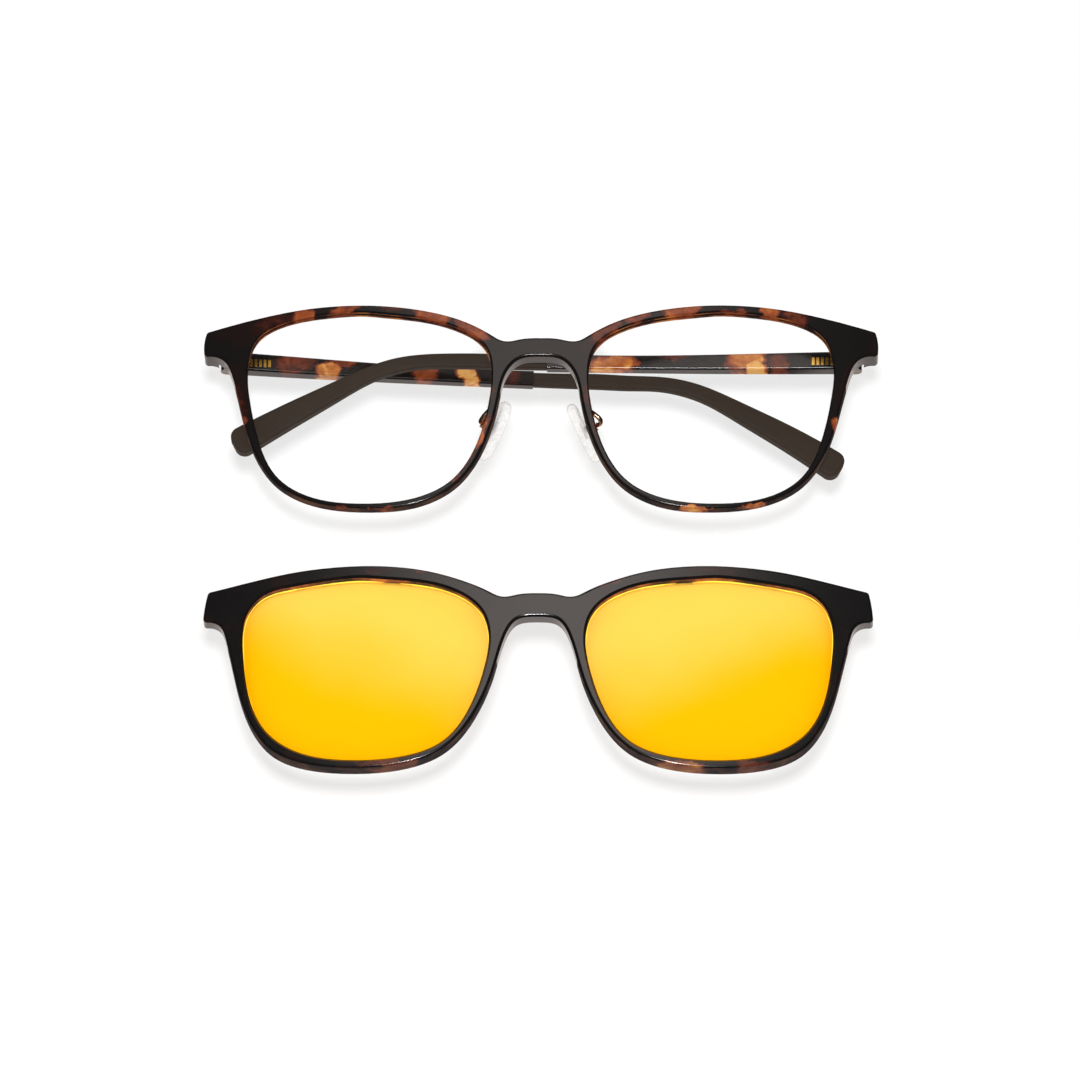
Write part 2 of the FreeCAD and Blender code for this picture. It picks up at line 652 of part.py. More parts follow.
def temple_core(side, way):
    """The spring-steel strip that joins the stiff arm to its tip."""
    middle = raised(CORE_LINE, side)
    strip_view = strip(f"core_side_{side}", shifted(middle, CORE_HALF), shifted(middle, -CORE_HALF), way)
    strip_view.Placement.Base = V(0, CORE_FACES[0], 0)
    return extrusion(f"core_{side}", strip_view, V(0, 1, 0), str(CORE_FACES[1] - CORE_FACES[0]))


for side in SIDES:
    way = -SIDES[side]
    leaf = temple_leaf(side, way)
    anchor = hinge_anchor(side, way)
    core = temple_core(side, way)
    notch = cylinder(f"notch_{side}", str(NOTCH_RADIUS), "20", at(0, 0, -10))
    arm_blank = bar(f"arm_{side}", ARM_TOP, ARM_LOW, ARM_IN, ARM_OUT, way)
    arm_round = round_edges(f"arm_round_{side}", arm_blank, 0.5, lengthwise)
    arm = cut(f"arm_cut_{side}", arm_round, notch, leaf, anchor, core)
    tip_blank = bar(f"tip_{side}", raised(TIP_TOP, side), raised(TIP_LOW, side), TIP_IN, TIP_OUT, way)
    tip_end = round_edges(f"tip_end_{side}", tip_blank, 2.2,
                          lambda point, edge: abs(point.x) > 130 and edge.BoundBox.YLength > 2)
    tip_round = round_edges(f"tip_round_{side}", tip_end, 0.7,
                            lambda point, edge: abs(point.x) > 68 and edge.BoundBox.YLength < 1.5)
    tip = cut(f"tip_cut_{side}", tip_round, core)
    pieces = {"temple_arm": arm, "temple_tip": tip, "hinge_temple_leaf": leaf, "hinge_anchor": anchor,
              "temple_core": core}
    for node, piece in pieces.items():
        placed_node(piece, f"{node}_{side}", at(0, 0, 0, size(f"{side}_fold") * way),
                    Placement__Base__x=f"{-way} * $hinge_offset",
                    Placement__Base__y="$hinge_back", Placement__Base__z="$hinge_level")

# ---------------------------------------------------------------- clip-on

clip_back = size("bow_radius") + size("clip_gap")
clip_front = clip_back + size("clip_depth")
clip_outline = front_outline("clip_outline", CLIP_TOP, CLIP_END, CLIP_LOW)
clip_block = extrusion("clip_block", clip_outline, V(0, 1, 0), "12", "14")
clip_shell = bow_shell("clip_shell", "$bow_radius + $clip_gap + $clip_depth", "$bow_radius + $clip_gap")
clip_blank = common("clip_blank", clip_block, clip_shell)
clip_ends = round_edges("clip_ends", clip_blank, 0.9, end_corners)
clip_round = round_edges("clip_rounded", clip_ends, 0.6, on_radius(clip_front))
clip_lens_shell = bow_shell("clip_lens_shell",
                            "$bow_radius + $clip_gap + $clip_depth - $clip_lens_setback",
                            "$bow_radius + $clip_gap + $clip_depth - $clip_lens_setback - $clip_lens_thickness")
clip_openings, clip_pieces = [], {}
for side in SIDES:
    opening = aperture_sketch(f"clip_aperture_{side}", CLIP_APERTURE, side)
    clip_openings.append(extrusion(f"clip_aperture_block_{side}", opening, V(0, 1, 0), "12", "14"))
    clip_pieces[f"clip_lens_{side}"] = lens_solid(f"yellow_lens_{side}", CLIP_APERTURE, side,
                                                  "clip_groove_depth", clip_lens_shell)
    clip_pieces[f"clip_magnet_{side}"] = radial_disc(
        f"back_magnet_{side}", side, clip_back + size("magnet_height") - size("magnet_proud"),
        size("magnet_level") + size("clip_drop"))
clip_open = cut("clip_open", clip_round, *clip_openings)
doc.recompute()
clip_bevelled = round_edges("clip_bevelled", clip_open, 0.5,
                            near_aperture(clip_front, clip_openings), "Part::Chamfer")
clip_pieces["clip_frame"] = cut("clip_cut", clip_bevelled, *clip_pieces.values())
for node, piece in clip_pieces.items():
    placed_node(piece, node, Placement__Base__z="-$clip_travel - $clip_drop")

# ---------------------------------------------------------------- check and write

doc.recompute()
for thing in doc.Objects:
    if "Invalid" in thing.State or "Error" in thing.State:
        raise RuntimeError(f"{thing.Label} did not build: {thing.State}")
for thing in nodes:
    if thing.Shape.isNull() or not thing.Shape.isValid() or not thing.Shape.Solids:
        raise RuntimeError(f"{thing.Label} has no valid solid")
os.makedirs("parts", exist_ok=True)
for thing in nodes:
    thing.Shape.exportStep(f"parts/{thing.Label}.step")
    print(f"{thing.Label:28} {len(thing.Shape.Solids)} solids {thing.Shape.Volume:9.2f} mm3")
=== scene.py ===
import math

import bpy
from mathutils import Matrix, Vector


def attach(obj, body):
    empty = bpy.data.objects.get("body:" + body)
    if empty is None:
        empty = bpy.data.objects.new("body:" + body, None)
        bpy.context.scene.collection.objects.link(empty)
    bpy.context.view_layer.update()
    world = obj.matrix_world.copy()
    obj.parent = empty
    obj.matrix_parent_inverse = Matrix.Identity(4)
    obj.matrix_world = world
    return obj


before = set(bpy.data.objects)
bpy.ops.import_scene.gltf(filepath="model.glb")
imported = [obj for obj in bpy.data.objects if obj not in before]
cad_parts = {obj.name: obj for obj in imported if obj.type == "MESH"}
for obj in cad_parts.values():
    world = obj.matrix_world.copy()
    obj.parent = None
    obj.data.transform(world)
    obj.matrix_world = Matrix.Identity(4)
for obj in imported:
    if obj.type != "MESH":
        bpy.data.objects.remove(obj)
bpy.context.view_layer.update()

SIDES = ("right", "left")

# ------------------------------------------------------------------ camera and stage

TILT = 24                       # degrees by which the camera looks up at the front
YAW = 1.2                       # degrees by which it stands to the wearer's left
LAMP_LIFT = 1.2                 # degrees by which the lamp stands above the camera
DISTANCE = 2.0                  # of the camera and the lamp from the target
TARGET = Vector((0.00035, -0.0022, -0.0435))
FOCAL_LENGTH = 312              # millimetres, for a sensor of the width below
SENSOR_WIDTH = 36
LAMP_POWER = 62
LAMP_RADIUS = 0.018             # sets how soft the shadows on the wall are
STUDIO_STRENGTH = 1.7           # of the studio that shiny surfaces reflect
STUDIO_TINT = (1.0, 0.9, 0.85)
WALL_SHADE = 0.79               # the wall's paint: white where the lamp reaches it, grey where not
WALL_Y = 0.18
WALL_REACH = 2
FLOOR_Z = -1.2
FLOOR_REACH = 4
SQUARE = [(-1, -1), (1, -1), (1, 1), (-1, 1)]


def aim(lift, yaw):
    """Turn towards the front from below and from the wearer's left, with X kept level."""
    lift, yaw = math.radians(lift), math.radians(yaw)
    ahead = Vector((-math.sin(yaw), math.cos(lift) * math.cos(yaw), math.sin(lift) * math.cos(yaw)))
    right = ahead.cross(Vector((0, -math.sin(lift), math.cos(lift)))).normalized()
    turn = Matrix((right, right.cross(ahead), -ahead)).transposed()
    return ahead, turn.to_euler()


def add_camera():
    data = bpy.data.cameras.new("camera")
    data.lens = FOCAL_LENGTH
    data.sensor_width = SENSOR_WIDTH
    data.clip_end = 10
    camera = bpy.data.objects.new("camera", data)
    ahead, camera.rotation_euler = aim(TILT, YAW)
    camera.location = TARGET - DISTANCE * ahead
    bpy.context.collection.objects.link(camera)
    bpy.context.scene.camera = camera


def add_plane(name, corners):
    mesh = bpy.data.meshes.new(name)
    mesh.from_pydata(corners, [], [range(4)])
    plane = bpy.data.objects.new(name, mesh)
    bpy.context.collection.objects.link(plane)
    return plane


def add_world():
    """White light all round; shiny surfaces reflect a studio with dark sides and floor."""
    world = bpy.data.worlds.new("studio")
    world.use_nodes = True
    tree = world.node_tree
    plain = tree.nodes["Background"]
    plain.inputs[0].default_value = (1, 1, 1, 1)
    way = tree.nodes.new("ShaderNodeTexCoord")
    split = tree.nodes.new("ShaderNodeSeparateXYZ")
    tree.links.new(way.outputs["Generated"], split.inputs[0])

    def band(value, stops):
        """Turn a direction, from -1 to 1, into a brightness."""
        ramp = tree.nodes.new("ShaderNodeValToRGB")
        ramp.color_ramp.interpolation = "EASE"
        while len(ramp.color_ramp.elements) < len(stops):
            ramp.color_ramp.elements.new(0.5)
        for element, (position, level) in zip(ramp.color_ramp.elements, stops):
            element.position = position
            element.color = (level, level, level, 1)
        shifted = tree.nodes.new("ShaderNodeMath")
        shifted.operation = "MULTIPLY_ADD"
        shifted.inputs[1].default_value = shifted.inputs[2].default_value = 0.5
        tree.links.new(value, shifted.inputs[0])
        tree.links.new(shifted.outputs[0], ramp.inputs[0])
        return ramp.outputs[0]

    def joined(first, second, operation):
        node = tree.nodes.new("ShaderNodeMath")
        node.operation = operation
        tree.links.new(first, node.inputs[0])
        tree.links.new(second, node.inputs[1])
        return node.outputs[0]

    sides = band(split.outputs[0], [(0.38, 0.0), (0.46, 1.0), (0.54, 1.0), (0.62, 0.0)])
    front = band(split.outputs[1], [(0.3, 1.0), (0.5, 0.0)])
    high = band(split.outputs[2], [(0.54, 0.0), (0.66, 1.0), (0.8, 1.0), (0.95, 0.4)])
    back = band(split.outputs[1], [(0.8, 0.0), (0.9, 0.6)])
    lit = joined(joined(sides, joined(front, high, "MULTIPLY"), "MULTIPLY"), back, "MAXIMUM")
    studio = tree.nodes.new("ShaderNodeBackground")
    studio.inputs[1].default_value = STUDIO_STRENGTH
    warm = tree.nodes.new("ShaderNodeCombineColor")
    for socket, share in zip(warm.inputs, STUDIO_TINT):
        dim = tree.nodes.new("ShaderNodeMath")
        dim.operation = "MULTIPLY"
        dim.inputs[1].default_value = share
        tree.links.new(lit, dim.inputs[0])
        tree.links.new(dim.outputs[0], socket)
    tree.links.new(warm.outputs[0], studio.inputs[0])
    path = tree.nodes.new("ShaderNodeLightPath")
    both = tree.nodes.new("ShaderNodeMixShader")
    tree.links.new(path.outputs["Is Glossy Ray"], both.inputs[0])
    tree.links.new(plain.outputs[0], both.inputs[1])
    tree.links.new(studio.outputs[0], both.inputs[2])
    tree.links.new(both.outputs[0], tree.nodes["World Output"].inputs["Surface"])
    bpy.context.scene.world = world


def one_sided():
    """Pale paint, see-through from behind so that the set can be viewed from the back."""
    paint = bpy.data.materials.new("wall")
    paint.use_nodes = True
    nodes, links = paint.node_tree.nodes, paint.node_tree.links
    shader = nodes["Principled BSDF"]
    shader.inputs["Base Color"].default_value = (WALL_SHADE, WALL_SHADE, WALL_SHADE, 1)
    shader.inputs["Specular IOR Level"].default_value = 0
    sides = nodes.new("ShaderNodeMixShader")
    links.new(nodes.new("ShaderNodeNewGeometry").outputs["Backfacing"], sides.inputs[0])
    links.new(shader.outputs[0], sides.inputs[1])
    links.new(nodes.new("ShaderNodeBsdfTransparent").outputs[0], sides.inputs[2])
    links.new(sides.outputs[0], nodes["Material Output"].inputs["Surface"])
    return paint


def add_stage():
    """A pale wall that takes the set's shadows, a pale floor, and soft light."""
    wall = add_plane("wall", [(WALL_REACH * x, WALL_Y, WALL_REACH * z) for x, z in SQUARE])
    wall.data.materials.append(one_sided())
    wall.visible_glossy = False
    floor = add_plane("floor", [(FLOOR_REACH * x, FLOOR_REACH * y, FLOOR_Z) for x, y in SQUARE])
    floor.visible_shadow = False
    floor.visible_glossy = False
    paint = bpy.data.materials.new("floor")
    paint.use_nodes = True
    shader = paint.node_tree.nodes["Principled BSDF"]
    shader.inputs["Base Color"].default_value = (0, 0, 0, 1)
    shader.inputs["Specular IOR Level"].default_value = 0
    shader.inputs["Emission Color"].default_value = (1, 1, 1, 1)
    shader.inputs["Emission Strength"].default_value = 1.0
    floor.data.materials.append(paint)
    add_world()
    light = bpy.data.lights.new("lamp", "POINT")
    light.energy = LAMP_POWER
    light.shadow_soft_size = LAMP_RADIUS
    lamp = bpy.data.objects.new("lamp", light)
    lamp.location = TARGET - DISTANCE * aim(TILT - LAMP_LIFT, YAW)[0]
    bpy.context.collection.objects.link(lamp)
    bpy.context.scene.view_settings.view_transform = "Standard"


add_camera()
add_stage()

# ------------------------------------------------------------------ material kit

BRIDGE_REACH = 13.0             # a front is bridge as far as this from its middle, in millimetres


class Nodes:
    """A material's node tree with short calls for the nodes used here."""

    def __init__(self, name):
        self.material = bpy.data.materials.new(name)
        self.material.use_nodes = True
        self.tree = self.material.node_tree
        self.shader = self.tree.nodes["Principled BSDF"]
        self.output = self.tree.nodes["Material Output"]

    def new(self, kind, **settings):
        node = self.tree.nodes.new(kind)
        for key, value in settings.items():
            setattr(node, key, value)
        return node

    def link(self, source, target):
        if isinstance(source, (int, float, tuple)):
            target.default_value = source
        else:
            self.tree.links.new(source, target)

    def math(self, operation, *values, clamp=False):
        node = self.new("ShaderNodeMath", operation=operation, use_clamp=clamp)
        for socket, value in zip(node.inputs, values):
            self.link(value, socket)
        return node.outputs[0]

    def vector(self, operation, *values):
        node = self.new("ShaderNodeVectorMath", operation=operation)
        for socket, value in zip(node.inputs, values):
            self.link(value, socket)
        return node.outputs["Value" if operation in ("LENGTH", "DOT_PRODUCT", "DISTANCE") else "Vector"]

    def place(self):
        """The point on the piece, in millimetres of the CAD frame at rest."""
        coordinates = self.new("ShaderNodeTexCoord")
        return self.vector("MULTIPLY", coordinates.outputs["Object"], (1000, 1000, 1000))

    def noise(self, point, scale, detail=2.0, rough=0.5, colour=False):
        node = self.new("ShaderNodeTexNoise")
        self.link(point, node.inputs["Vector"])
        node.inputs["Scale"].default_value = scale
        node.inputs["Detail"].default_value = detail
        node.inputs["Roughness"].default_value = rough
        return node.outputs["Color" if colour else "Fac"]

    def ramp(self, value, stops, smooth=False):
        node = self.new("ShaderNodeValToRGB")
        elements = node.color_ramp.elements
        while len(elements) < len(stops):
            elements.new(0.5)
        for element, (position, colour) in zip(elements, stops):
            element.position = position
            element.color = rgb(colour) if isinstance(colour, str) else (colour, colour, colour, 1)
        if smooth:
            node.color_ramp.interpolation = "EASE"
        self.link(value, node.inputs[0])
        return node.outputs[0]

    def mix(self, share, first, second):
        node = self.new("ShaderNodeMix", data_type="RGBA")
        self.link(share, node.inputs[0])
        self.link(rgb(first) if isinstance(first, str) else first, node.inputs[6])
        self.link(rgb(second) if isinstance(second, str) else second, node.inputs[7])
        return node.outputs[2]

    def bump(self, height, strength, distance):
        node = self.new("ShaderNodeBump")
        node.inputs["Strength"].default_value = strength
        node.inputs["Distance"].default_value = distance
        self.link(height, node.inputs["Height"])
        self.link(node.outputs[0], self.shader.inputs["Normal"])

    def free_of_shadow(self, point, level):
        """Above the level, and clear of the bridge, throw no shadow."""
        split = self.new("ShaderNodeSeparateXYZ")
        self.link(point, split.inputs[0])
        above = self.math("GREATER_THAN", split.outputs[2], level)
        clear = self.math("GREATER_THAN", self.math("ABSOLUTE", split.outputs[0]), BRIDGE_REACH)
        ray = self.new("ShaderNodeLightPath").outputs["Is Shadow Ray"]
        mixed = self.new("ShaderNodeMixShader")
        self.link(self.math("MULTIPLY", self.math("MULTIPLY", above, clear), ray), mixed.inputs[0])
        self.link(self.shader.outputs[0], mixed.inputs[1])
        self.link(self.new("ShaderNodeBsdfTransparent").outputs[0], mixed.inputs[2])
        self.link(mixed.outputs[0], self.output.inputs["Surface"])

    def set(self, **values):
        for key, value in values.items():
            self.link(value, self.shader.inputs[key.replace("_", " ")])


def rgb(text):
    """A screen colour such as c08040, as linear light."""
    channels = [int(text[i:i + 2], 16) / 255 for i in (0, 2, 4)]
    return tuple(c / 12.92 if c < 0.04045 else ((c + 0.055) / 1.055) ** 2.4 for c in channels) + (1,)


# ------------------------------------------------------------------ tortoise-pattern acetate

WARP = (3.6, 3.6, 3.6)          # how far noise bends the patches' outlines, in millimetres
RIM_SPAN = (8.5, 66.0)          # distances from the middle between which a rim's walls get amber, partly painted light
WALL_GLOW_BELOW = 0.12          # share of that amber and painted light on the lower part of a rim
GLOW_MARGIN = 5.0               # the upper part starts this far under the shadow-free level
CLEAR_ABOVE = 5.0               # that level, from the middle of the bridge's underside
CLIP_DROP = -62.8               # Z of the middle of the underside of the clip-on's bridge

# Where the pattern's amber patches lie, in millimetres: X and Z of the middle, half length and
# half height, slope in degrees, strength from 0 (red-brown) to 1 (bright amber) or a little more.
FRONT_PATCHES = [
    (-57, 9.5, 5.5, 3.2, 15, 0.2), (-51.2, 10.8, 2.4, 3.0, 60, 0.95),
    (-42.5, 12.0, 4.4, 1.8, 20, 0.75), (-32.5, 12.6, 3.2, 1.3, -10, 0.4),
    (-23.2, 10.1, 4.6, 2.1, -18, 0.95), (-14.6, 6.6, 5.0, 2.0, -35, 0.75),
    (14.0, 6.2, 5.0, 2.2, 40, 0.5), (20.5, 9.4, 3.6, 1.8, 25, 0.65),
    (30.5, 11.6, 5.0, 2.2, 12, 0.85), (49.5, 12.0, 2.8, 2.2, -30, 1.0),
    (55, 10.8, 3.4, 2.0, -20, 0.5), (42, 11.6, 3.6, 0.7, 3, 0.55),
    (-65.6, -9.2, 2.0, 6.5, 12, 0.2), (-64.6, -13.2, 1.8, 1.5, 0, 0.65),
    (-14.2, -20.6, 1.5, 8.0, -28, 1.05), (-11.2, -9.5, 1.6, 3.0, -15, 0.3),
    (-18.6, -28.2, 1.8, 2.0, -40, 0.6), (64.6, -14.2, 2.3, 2.2, 15, 1.1),
    (-43.2, -34.9, 3.2, 0.6, 0, 0.5), (-34.8, -35.5, 4.6, 0.6, 0, 0.8),
    (33.0, -35.6, 4.6, 0.9, 0, 1.35), (47.0, -34.4, 5.6, 0.8, 12, 1.15),
    (11.0, -9.5, 1.5, 4.0, 15, 0.2), (12.5, -17, 1.5, 4.0, 20, 0.15),
]
RIGHT_ARM_PATCHES = [
    (-53.5, 5.0, 5.0, 3.2, 10, 0.35), (-46.5, 3.4, 2.6, 3.4, -70, 0.85), (-42.5, 6.0, 3.0, 2.0, 20, 0.45),
    (-25.3, 4.5, 3.6, 3.0, 20, 0.55), (-16.4, 5.2, 2.8, 2.6, 10, 1.0), (-15.2, 2.8, 1.6, 2.4, -60, 0.95),
    (-7, 4.4, 3.0, 2.5, 0, 0.2),
]
LEFT_ARM_PATCHES = [
    (15.6, 3.6, 6.4, 2.6, 6, 0.8), (7.5, 5.0, 4, 2.5, 0, 0.4), (44.4, 5.2, 5.6, 3.2, 15, 0.8),
    (46.6, 3.0, 2.4, 2.6, 60, 1.0), (51.5, 3.8, 2.6, 3.0, 0, 0.35), (29, 5.6, 4.0, 1.4, 0, 0.2),
]
# Z here is from the middle of the underside of the clip-on's bridge.
CLIP_PATCHES = [
    (-16.0, 8.8, 4.0, 1.1, -25, 0.3), (-24.5, 10.9, 1.6, 0.8, 0, 0.25), (-34, 11.2, 3.5, 0.8, 0, 0.12),
    (-12.2, -11.5, 1.5, 3.5, -20, 0.25), (-66.4, -11.0, 1.2, 3.5, 10, 0.2), (-30, -33.5, 9.0, 1.0, 0, 0.45),
    (15.5, 8.4, 4.0, 1.2, 25, 0.25), (38, 11.4, 5.0, 0.8, 0, 0.15), (30.0, -33.9, 7.0, 1.2, 0, 0.75),
    (46, -33.2, 5.0, 1.2, 5, 0.45), (12.0, -13, 1.6, 3.5, 20, 0.2), (65.4, -12, 1.2, 3.0, -10, 0.2),
]


def patch_field(kit, point, patches):
    """How deep a point lies inside a patch, 1 at the middle, and how bright the patch is there."""
    depth, strength = 0.0, 0.0
    for x, z, long, high, slope, bright in patches:
        turn = math.radians(slope)
        away = kit.vector("SUBTRACT", point, (x, 0.0, z))
        along = kit.vector("DOT_PRODUCT", away, (math.cos(turn) / long, 0.0, math.sin(turn) / long))
        across = kit.vector("DOT_PRODUCT", away, (-math.sin(turn) / high, 0.0, math.cos(turn) / high))
        reach = kit.math("SQRT", kit.math("ADD", kit.math("MULTIPLY", along, along),
                                          kit.math("MULTIPLY", across, across)))
        inside = kit.math("SUBTRACT", 1.0, reach, clamp=True)
        depth = kit.math("MAXIMUM", depth, inside)
        flat = kit.math("MULTIPLY", inside, 3.0, clamp=True)
        strength = kit.math("MAXIMUM", strength, kit.math("MULTIPLY", flat, bright))
    return depth, strength


def tortoise(name, patches, base, wall_glow=0.0, mute=0.0, gloss=0.2, seed=0.0, shine=0.5,
             clear_above=None, vivid=1.0):
    """Nearly black acetate with warped amber patches.

    wall_glow adds amber on the rims' side walls: partly the acetate's own amber, partly painted light, with
    more of it on the upper walls. mute dims the patches, vivid scales their strength, and seed moves the
    noise. Above clear_above, a height in millimetres, the rims throw no shadow into their own lenses.
    """
    kit = Nodes(name)
    plain = kit.place()
    point = kit.vector("ADD", plain, (seed, 0.0, seed))
    warp = kit.vector("SUBTRACT", kit.noise(point, 0.3, 4, 0.62, colour=True), (0.5, 0.5, 0.5))
    bent = kit.vector("ADD", plain, kit.vector("MULTIPLY", warp, WARP))
    depth, strength = patch_field(kit, bent, patches)
    edge = kit.ramp(depth, [(0.02, 0.0), (0.1, 1.0)], smooth=True)
    streak = kit.noise(kit.vector("MULTIPLY", bent, (1.0, 1.0, 1.6)), 0.35, 4, 0.6)
    tone = kit.math("ADD", kit.math("MULTIPLY", strength, vivid),
                    kit.math("MULTIPLY", kit.math("SUBTRACT", streak, 0.5), 0.9))
    amber = kit.ramp(tone, [(0.0, "1a0c09"), (0.2, "34140d"), (0.42, "642b17"), (0.65, "8a431f"),
                            (0.85, "b36c2f"), (1.0, "d09a55")])
    cloud = kit.ramp(kit.noise(point, 0.12, 2), [(0.52, 0.0), (0.64, 1.0)], smooth=True)
    ground = kit.mix(kit.math("MULTIPLY", cloud, 0.4), base, "1d0e0b")
    colour = kit.mix(kit.math("MULTIPLY", edge, 1.0 - mute), ground, amber)
    fine = kit.noise(plain, 6.0, 3, 0.6)
    rough = kit.ramp(fine, [(0.3, gloss - 0.04), (0.7, gloss + 0.05)])
    # The rims' side walls get amber: partly the acetate's own colour, partly painted light, stronger on the
    # upper walls as if light falls on them.
    if wall_glow:
        normal = kit.new("ShaderNodeNewGeometry").outputs["Normal"]
        facing = kit.math("ABSOLUTE", kit.vector("DOT_PRODUCT", normal, (0.0, 1.0, 0.0)))
        wall = kit.ramp(facing, [(0.3, 1.0), (0.6, 0.0)], smooth=True)
        spot = kit.new("ShaderNodeSeparateXYZ")
        kit.link(plain, spot.inputs[0])
        out = kit.math("ABSOLUTE", spot.outputs[0])
        rim = kit.math("MULTIPLY", kit.math("GREATER_THAN", out, RIM_SPAN[0]),
                       kit.math("LESS_THAN", out, RIM_SPAN[1]))
        wall = kit.math("MULTIPLY", wall, rim)
        upper = kit.math("GREATER_THAN", spot.outputs[2], clear_above - GLOW_MARGIN)
        body = kit.noise(kit.vector("ADD", point, (13.0, 7.0, 3.0)), 0.16, 3, 0.6)
        glow = kit.ramp(body, [(0.34, "0d0907"), (0.42, "3a170b"), (0.52, "8a4416"), (0.64, "c8792a")])
        # More painted light on the upper walls than on the lower ones.
        share = kit.math("MULTIPLY_ADD", upper, wall_glow - WALL_GLOW_BELOW, WALL_GLOW_BELOW)
        colour = kit.mix(kit.math("MULTIPLY", wall, share), colour, glow)
        rough = kit.mix(wall, rough, (0.9, 0.9, 0.9, 1.0))
    kit.set(Base_Color=colour, IOR=1.49, Roughness=rough)
    kit.shader.inputs["Specular IOR Level"].default_value = shine
    kit.bump(fine, 0.1, 0.00003)
    if clear_above is not None:
        kit.free_of_shadow(plain, clear_above)
    return kit.material


# ------------------------------------------------------------------ other materials

METAL_GRAIN = 25.0
LENS_MIDDLE = 37.0              # X of a lens's middle, in millimetres
YELLOW_FROM, YELLOW_OVER = -86.0, 36.0      # Z where the yellow starts to pale into a painted reflection, and over what height


def metal(name, colour, rough):
    """Polished metal with faint tarnish and a fine grain."""
    kit = Nodes(name)
    point = kit.place()
    fine = kit.noise(point, METAL_GRAIN / 5, 3, 0.6)
    shade = kit.mix(kit.math("MULTIPLY", fine, 0.35), colour, "3a332e")
    kit.set(Base_Color=shade, Metallic=1.0,
            Roughness=kit.ramp(fine, [(0.3, rough - 0.05), (0.7, rough + 0.08)]))
    kit.bump(kit.noise(point, METAL_GRAIN, 2), 0.1, 0.00002)
    return kit.material


def soft_sleeve(name, colour):
    """Matt soft-touch plastic with a fine grain."""
    kit = Nodes(name)
    point = kit.place()
    grain = kit.noise(point, 7.0, 3, 0.7)
    broad = kit.noise(point, 0.08, 2)
    shade = kit.mix(kit.ramp(grain, [(0.35, 0.0), (0.7, 0.55)]), colour, "43382f")
    shade = kit.mix(kit.math("MULTIPLY", broad, 0.3), shade, "1f1814")
    kit.set(Base_Color=shade, Roughness=kit.ramp(grain, [(0.3, 0.5), (0.7, 0.68)]))
    kit.shader.inputs["Specular IOR Level"].default_value = 0.2
    kit.bump(grain, 0.25, 0.00004)
    return kit.material


def see_through(name, tint, gloss, shadow, top=None, slant=0.0, body=0.0):
    """A thin lens: tinted light passes straight through, with a clean reflection on top.

    The tint fades upwards to top, later towards the outer side by slant: a painted reflection, paler
    towards the top. body is the share of dye that catches light itself, and shadow is how much of the
    lamp's light gets through.
    """
    kit = Nodes(name)
    colour = rgb(tint)
    # Painted reflection: the yellow pales towards the top along a noisy, slanted line.
    if top:
        point = kit.place()
        spot = kit.new("ShaderNodeSeparateXYZ")
        kit.link(point, spot.inputs[0])
        outwards = kit.math("SUBTRACT", kit.math("ABSOLUTE", spot.outputs[0]), LENS_MIDDLE)
        level = kit.math("MULTIPLY_ADD", outwards, -slant, spot.outputs[2])
        wave = kit.math("MULTIPLY", kit.noise(point, 0.035, 2), 16.0)
        risen = kit.math("SUBTRACT", kit.math("ADD", level, wave), YELLOW_FROM)
        share = kit.math("DIVIDE", risen, YELLOW_OVER, clamp=True)
        colour = kit.ramp(share, [(0.0, tint), (0.3, tint), (1.0, top)], smooth=True)
    through = kit.new("ShaderNodeBsdfTransparent")
    root = kit.new("ShaderNodeGamma")
    root.inputs["Gamma"].default_value = 0.5
    kit.link(colour, root.inputs["Color"])
    kit.link(root.outputs[0], through.inputs["Color"])
    inner = through.outputs[0]
    if body:
        dye = kit.new("ShaderNodeBsdfDiffuse")
        kit.link(colour, dye.inputs["Color"])
        blend = kit.new("ShaderNodeMixShader")
        kit.link(body, blend.inputs[0])
        kit.link(inner, blend.inputs[1])
        kit.link(dye.outputs[0], blend.inputs[2])
        inner = blend.outputs[0]
    shine = kit.new("ShaderNodeBsdfGlossy")
    shine.inputs["Roughness"].default_value = 0.03
    fresnel = kit.new("ShaderNodeLayerWeight")
    fresnel.inputs["Blend"].default_value = gloss
    outside = kit.math("SUBTRACT", 1.0, kit.new("ShaderNodeNewGeometry").outputs["Backfacing"])
    lens = kit.new("ShaderNodeMixShader")
    kit.link(kit.math("MULTIPLY", fresnel.outputs["Fresnel"], outside), lens.inputs[0])
    kit.link(inner, lens.inputs[1])
    kit.link(shine.outputs[0], lens.inputs[2])
    lamp = kit.new("ShaderNodeBsdfTransparent")
    lamp.inputs["Color"].default_value = (shadow, shadow, shadow, 1)
    path = kit.new("ShaderNodeLightPath")
    whole = kit.new("ShaderNodeMixShader")
    kit.link(path.outputs["Is Shadow Ray"], whole.inputs[0])
    kit.link(lens.outputs[0], whole.inputs[1])
    kit.link(lamp.outputs[0], whole.inputs[2])
    kit.link(whole.outputs[0], kit.output.inputs["Surface"])
    kit.tree.nodes.remove(kit.shader)
    return kit.material


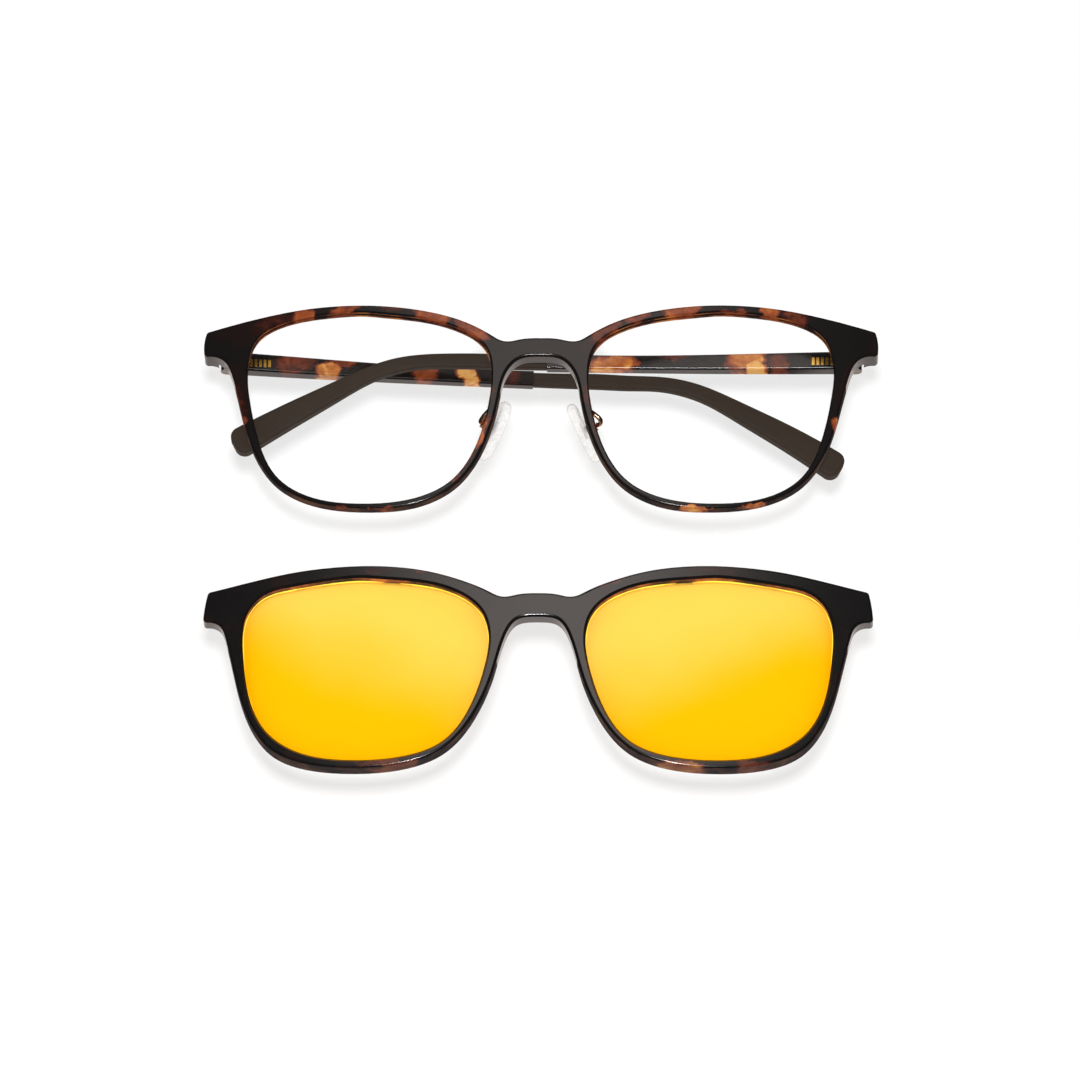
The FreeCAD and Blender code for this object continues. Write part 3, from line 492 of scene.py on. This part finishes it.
def silicone(name):
    """Clear silicone: whitish and see-through, with a painted grey shade round its edge."""
    kit = Nodes(name)
    point = kit.place()
    cloud = kit.noise(point, 0.9, 3, 0.6)
    # Painted reflection: grey where the pad turns away from view, standing in for the dark frame it
    # reflects at its edge.
    rim = kit.new("ShaderNodeLayerWeight")
    rim.inputs["Blend"].default_value = 0.35
    edge = kit.ramp(rim.outputs["Facing"], [(0.4, 0.0), (0.85, 1.0)], smooth=True)
    milky_with_edge_shade = kit.mix(edge, kit.ramp(cloud, [(0.3, "d9d5d2"), (0.6, "f4f2f0")]), "6f6a67")
    kit.set(Base_Color=milky_with_edge_shade, Roughness=kit.ramp(cloud, [(0.3, 0.2), (0.7, 0.35)]))
    kit.shader.inputs["IOR"].default_value = 1.41
    kit.shader.inputs["Specular IOR Level"].default_value = 0.3
    outside = kit.math("SUBTRACT", 1.0, kit.new("ShaderNodeNewGeometry").outputs["Backfacing"])
    through = kit.new("ShaderNodeBsdfTransparent")
    whole = kit.new("ShaderNodeMixShader")
    kit.link(kit.math("MULTIPLY", kit.math("MULTIPLY_ADD", edge, 0.3, 0.5), outside), whole.inputs[0])
    kit.link(through.outputs[0], whole.inputs[1])
    kit.link(kit.shader.outputs[0], whole.inputs[2])
    kit.link(whole.outputs[0], kit.output.inputs["Surface"])
    return kit.material


# ------------------------------------------------------------------ painted highlight on the edge of the yellow lenses

# The opening of the clip-on's rim: X, and Z from the middle of the underside of its bridge.
CLIP_APERTURE = [(36, 9.6), (26, 8.45), (16.9, 5.65), (11.8, 1.2), (10.3, -4), (11.1, -11.3),
                 (13.95, -20.2), (19.8, -28.4), (28.8, -31.8), (39, -32.25), (49.8, -30.2), (57.3, -24.9),
                 (61.2, -16.6), (62.7, -6.5), (62.1, 2.2), (59.0, 6.4), (52.3, 8.4), (44.3, 9.4)]
LENS_FACE = 401.5               # bow radius of the yellow lens's front
BOW_AXIS = 397.8                # Y of the bow's axis
EDGE_PROUD = 0.15               # the line stands this far in front of the lens
EDGE_RADIUS = 0.00018


def painted_edge_highlight(side, material):
    """A thin glowing line, a painted highlight where light gathers in the edge of a yellow lens."""
    sign = -1 if side == "right" else 1
    data = bpy.data.curves.new(f"painted_edge_highlight_{side}", "CURVE")
    data.dimensions = "3D"
    data.bevel_depth = EDGE_RADIUS
    data.bevel_resolution = 3
    data.resolution_u = 12
    line = data.splines.new("BEZIER")
    line.bezier_points.add(len(CLIP_APERTURE) - 1)
    line.use_cyclic_u = True
    for knot, (x, z) in zip(line.bezier_points, CLIP_APERTURE):
        y = BOW_AXIS - math.sqrt(LENS_FACE ** 2 - x ** 2) - EDGE_PROUD
        knot.co = (sign * x / 1000, y / 1000, (z + CLIP_DROP) / 1000)
        knot.handle_left_type = knot.handle_right_type = "AUTO"
    piece = bpy.data.objects.new(f"painted_edge_highlight_{side}", data)
    bpy.context.collection.objects.link(piece)
    data.materials.append(material)
    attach(piece, "clip_on")


# ------------------------------------------------------------------ put the materials on


def coat(node, material):
    """Give a CAD node its material."""
    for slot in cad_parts[node].material_slots:
        slot.material = material


coat("front_frame", tortoise("front_acetate", FRONT_PATCHES, "0f0d0d", wall_glow=0.7,
                             clear_above=CLEAR_ABOVE, vivid=0.62))
dropped = [(x, z + CLIP_DROP, *rest) for x, z, *rest in CLIP_PATCHES]
coat("clip_frame", tortoise("clip_acetate", dropped, "0b0a0a", wall_glow=0.85, mute=0.45, seed=40.0,
                            shine=0.9, clear_above=CLEAR_ABOVE + CLIP_DROP))
coat("temple_arm_right", tortoise("right_arm_acetate", RIGHT_ARM_PATCHES, "110e0d", seed=80.0))
coat("temple_arm_left", tortoise("left_arm_acetate", LEFT_ARM_PATCHES, "110e0d", seed=120.0))
steel = metal("gunmetal", "8f8a85", 0.32)
rose_gold = metal("rose_gold", "e0b193", 0.2)
gilt = metal("gilt", "f0c05a", 0.25)
nickel = metal("nickel", "c9c8c6", 0.2)
sleeve = soft_sleeve("sleeve", "33281f")
clear = see_through("clear_lens", "feffff", 0.02, 1.0)
yellow = see_through("yellow_lens", "ffbf06", 0.04, 1.0, top="ffd05a", slant=0.4, body=0.5)
pad = silicone("pad_silicone")
for side in SIDES:
    coat(f"temple_tip_{side}", sleeve)
    coat(f"temple_core_{side}", steel)
    coat(f"hinge_front_leaf_{side}", steel)
    coat(f"hinge_temple_leaf_{side}", steel)
    coat(f"hinge_screw_{side}", steel)
    coat(f"hinge_anchor_{side}", gilt)
    coat(f"pad_arm_{side}", rose_gold)
    coat(f"pad_screw_{side}", rose_gold)
    coat(f"pad_post_{side}", steel)
    coat(f"nose_pad_{side}", pad)
    coat(f"frame_magnet_{side}", nickel)
    coat(f"clip_magnet_{side}", nickel)
    coat(f"lens_{side}", clear)
    coat(f"clip_lens_{side}", yellow)

# The painted highlight's material: bright yellow with a faint glow of its own.
glow = Nodes("painted_edge_highlight")
glow.set(Base_Color=glow.ramp(glow.noise(glow.place(), 0.2, 2), [(0.3, "ffe03c"), (0.7, "ffe64a")]))
glow.set(Emission_Color=rgb("ffdf30"), Roughness=0.4)
glow.shader.inputs["Emission Strength"].default_value = 0.35
for side in SIDES:
    painted_edge_highlight(side, glow.material)
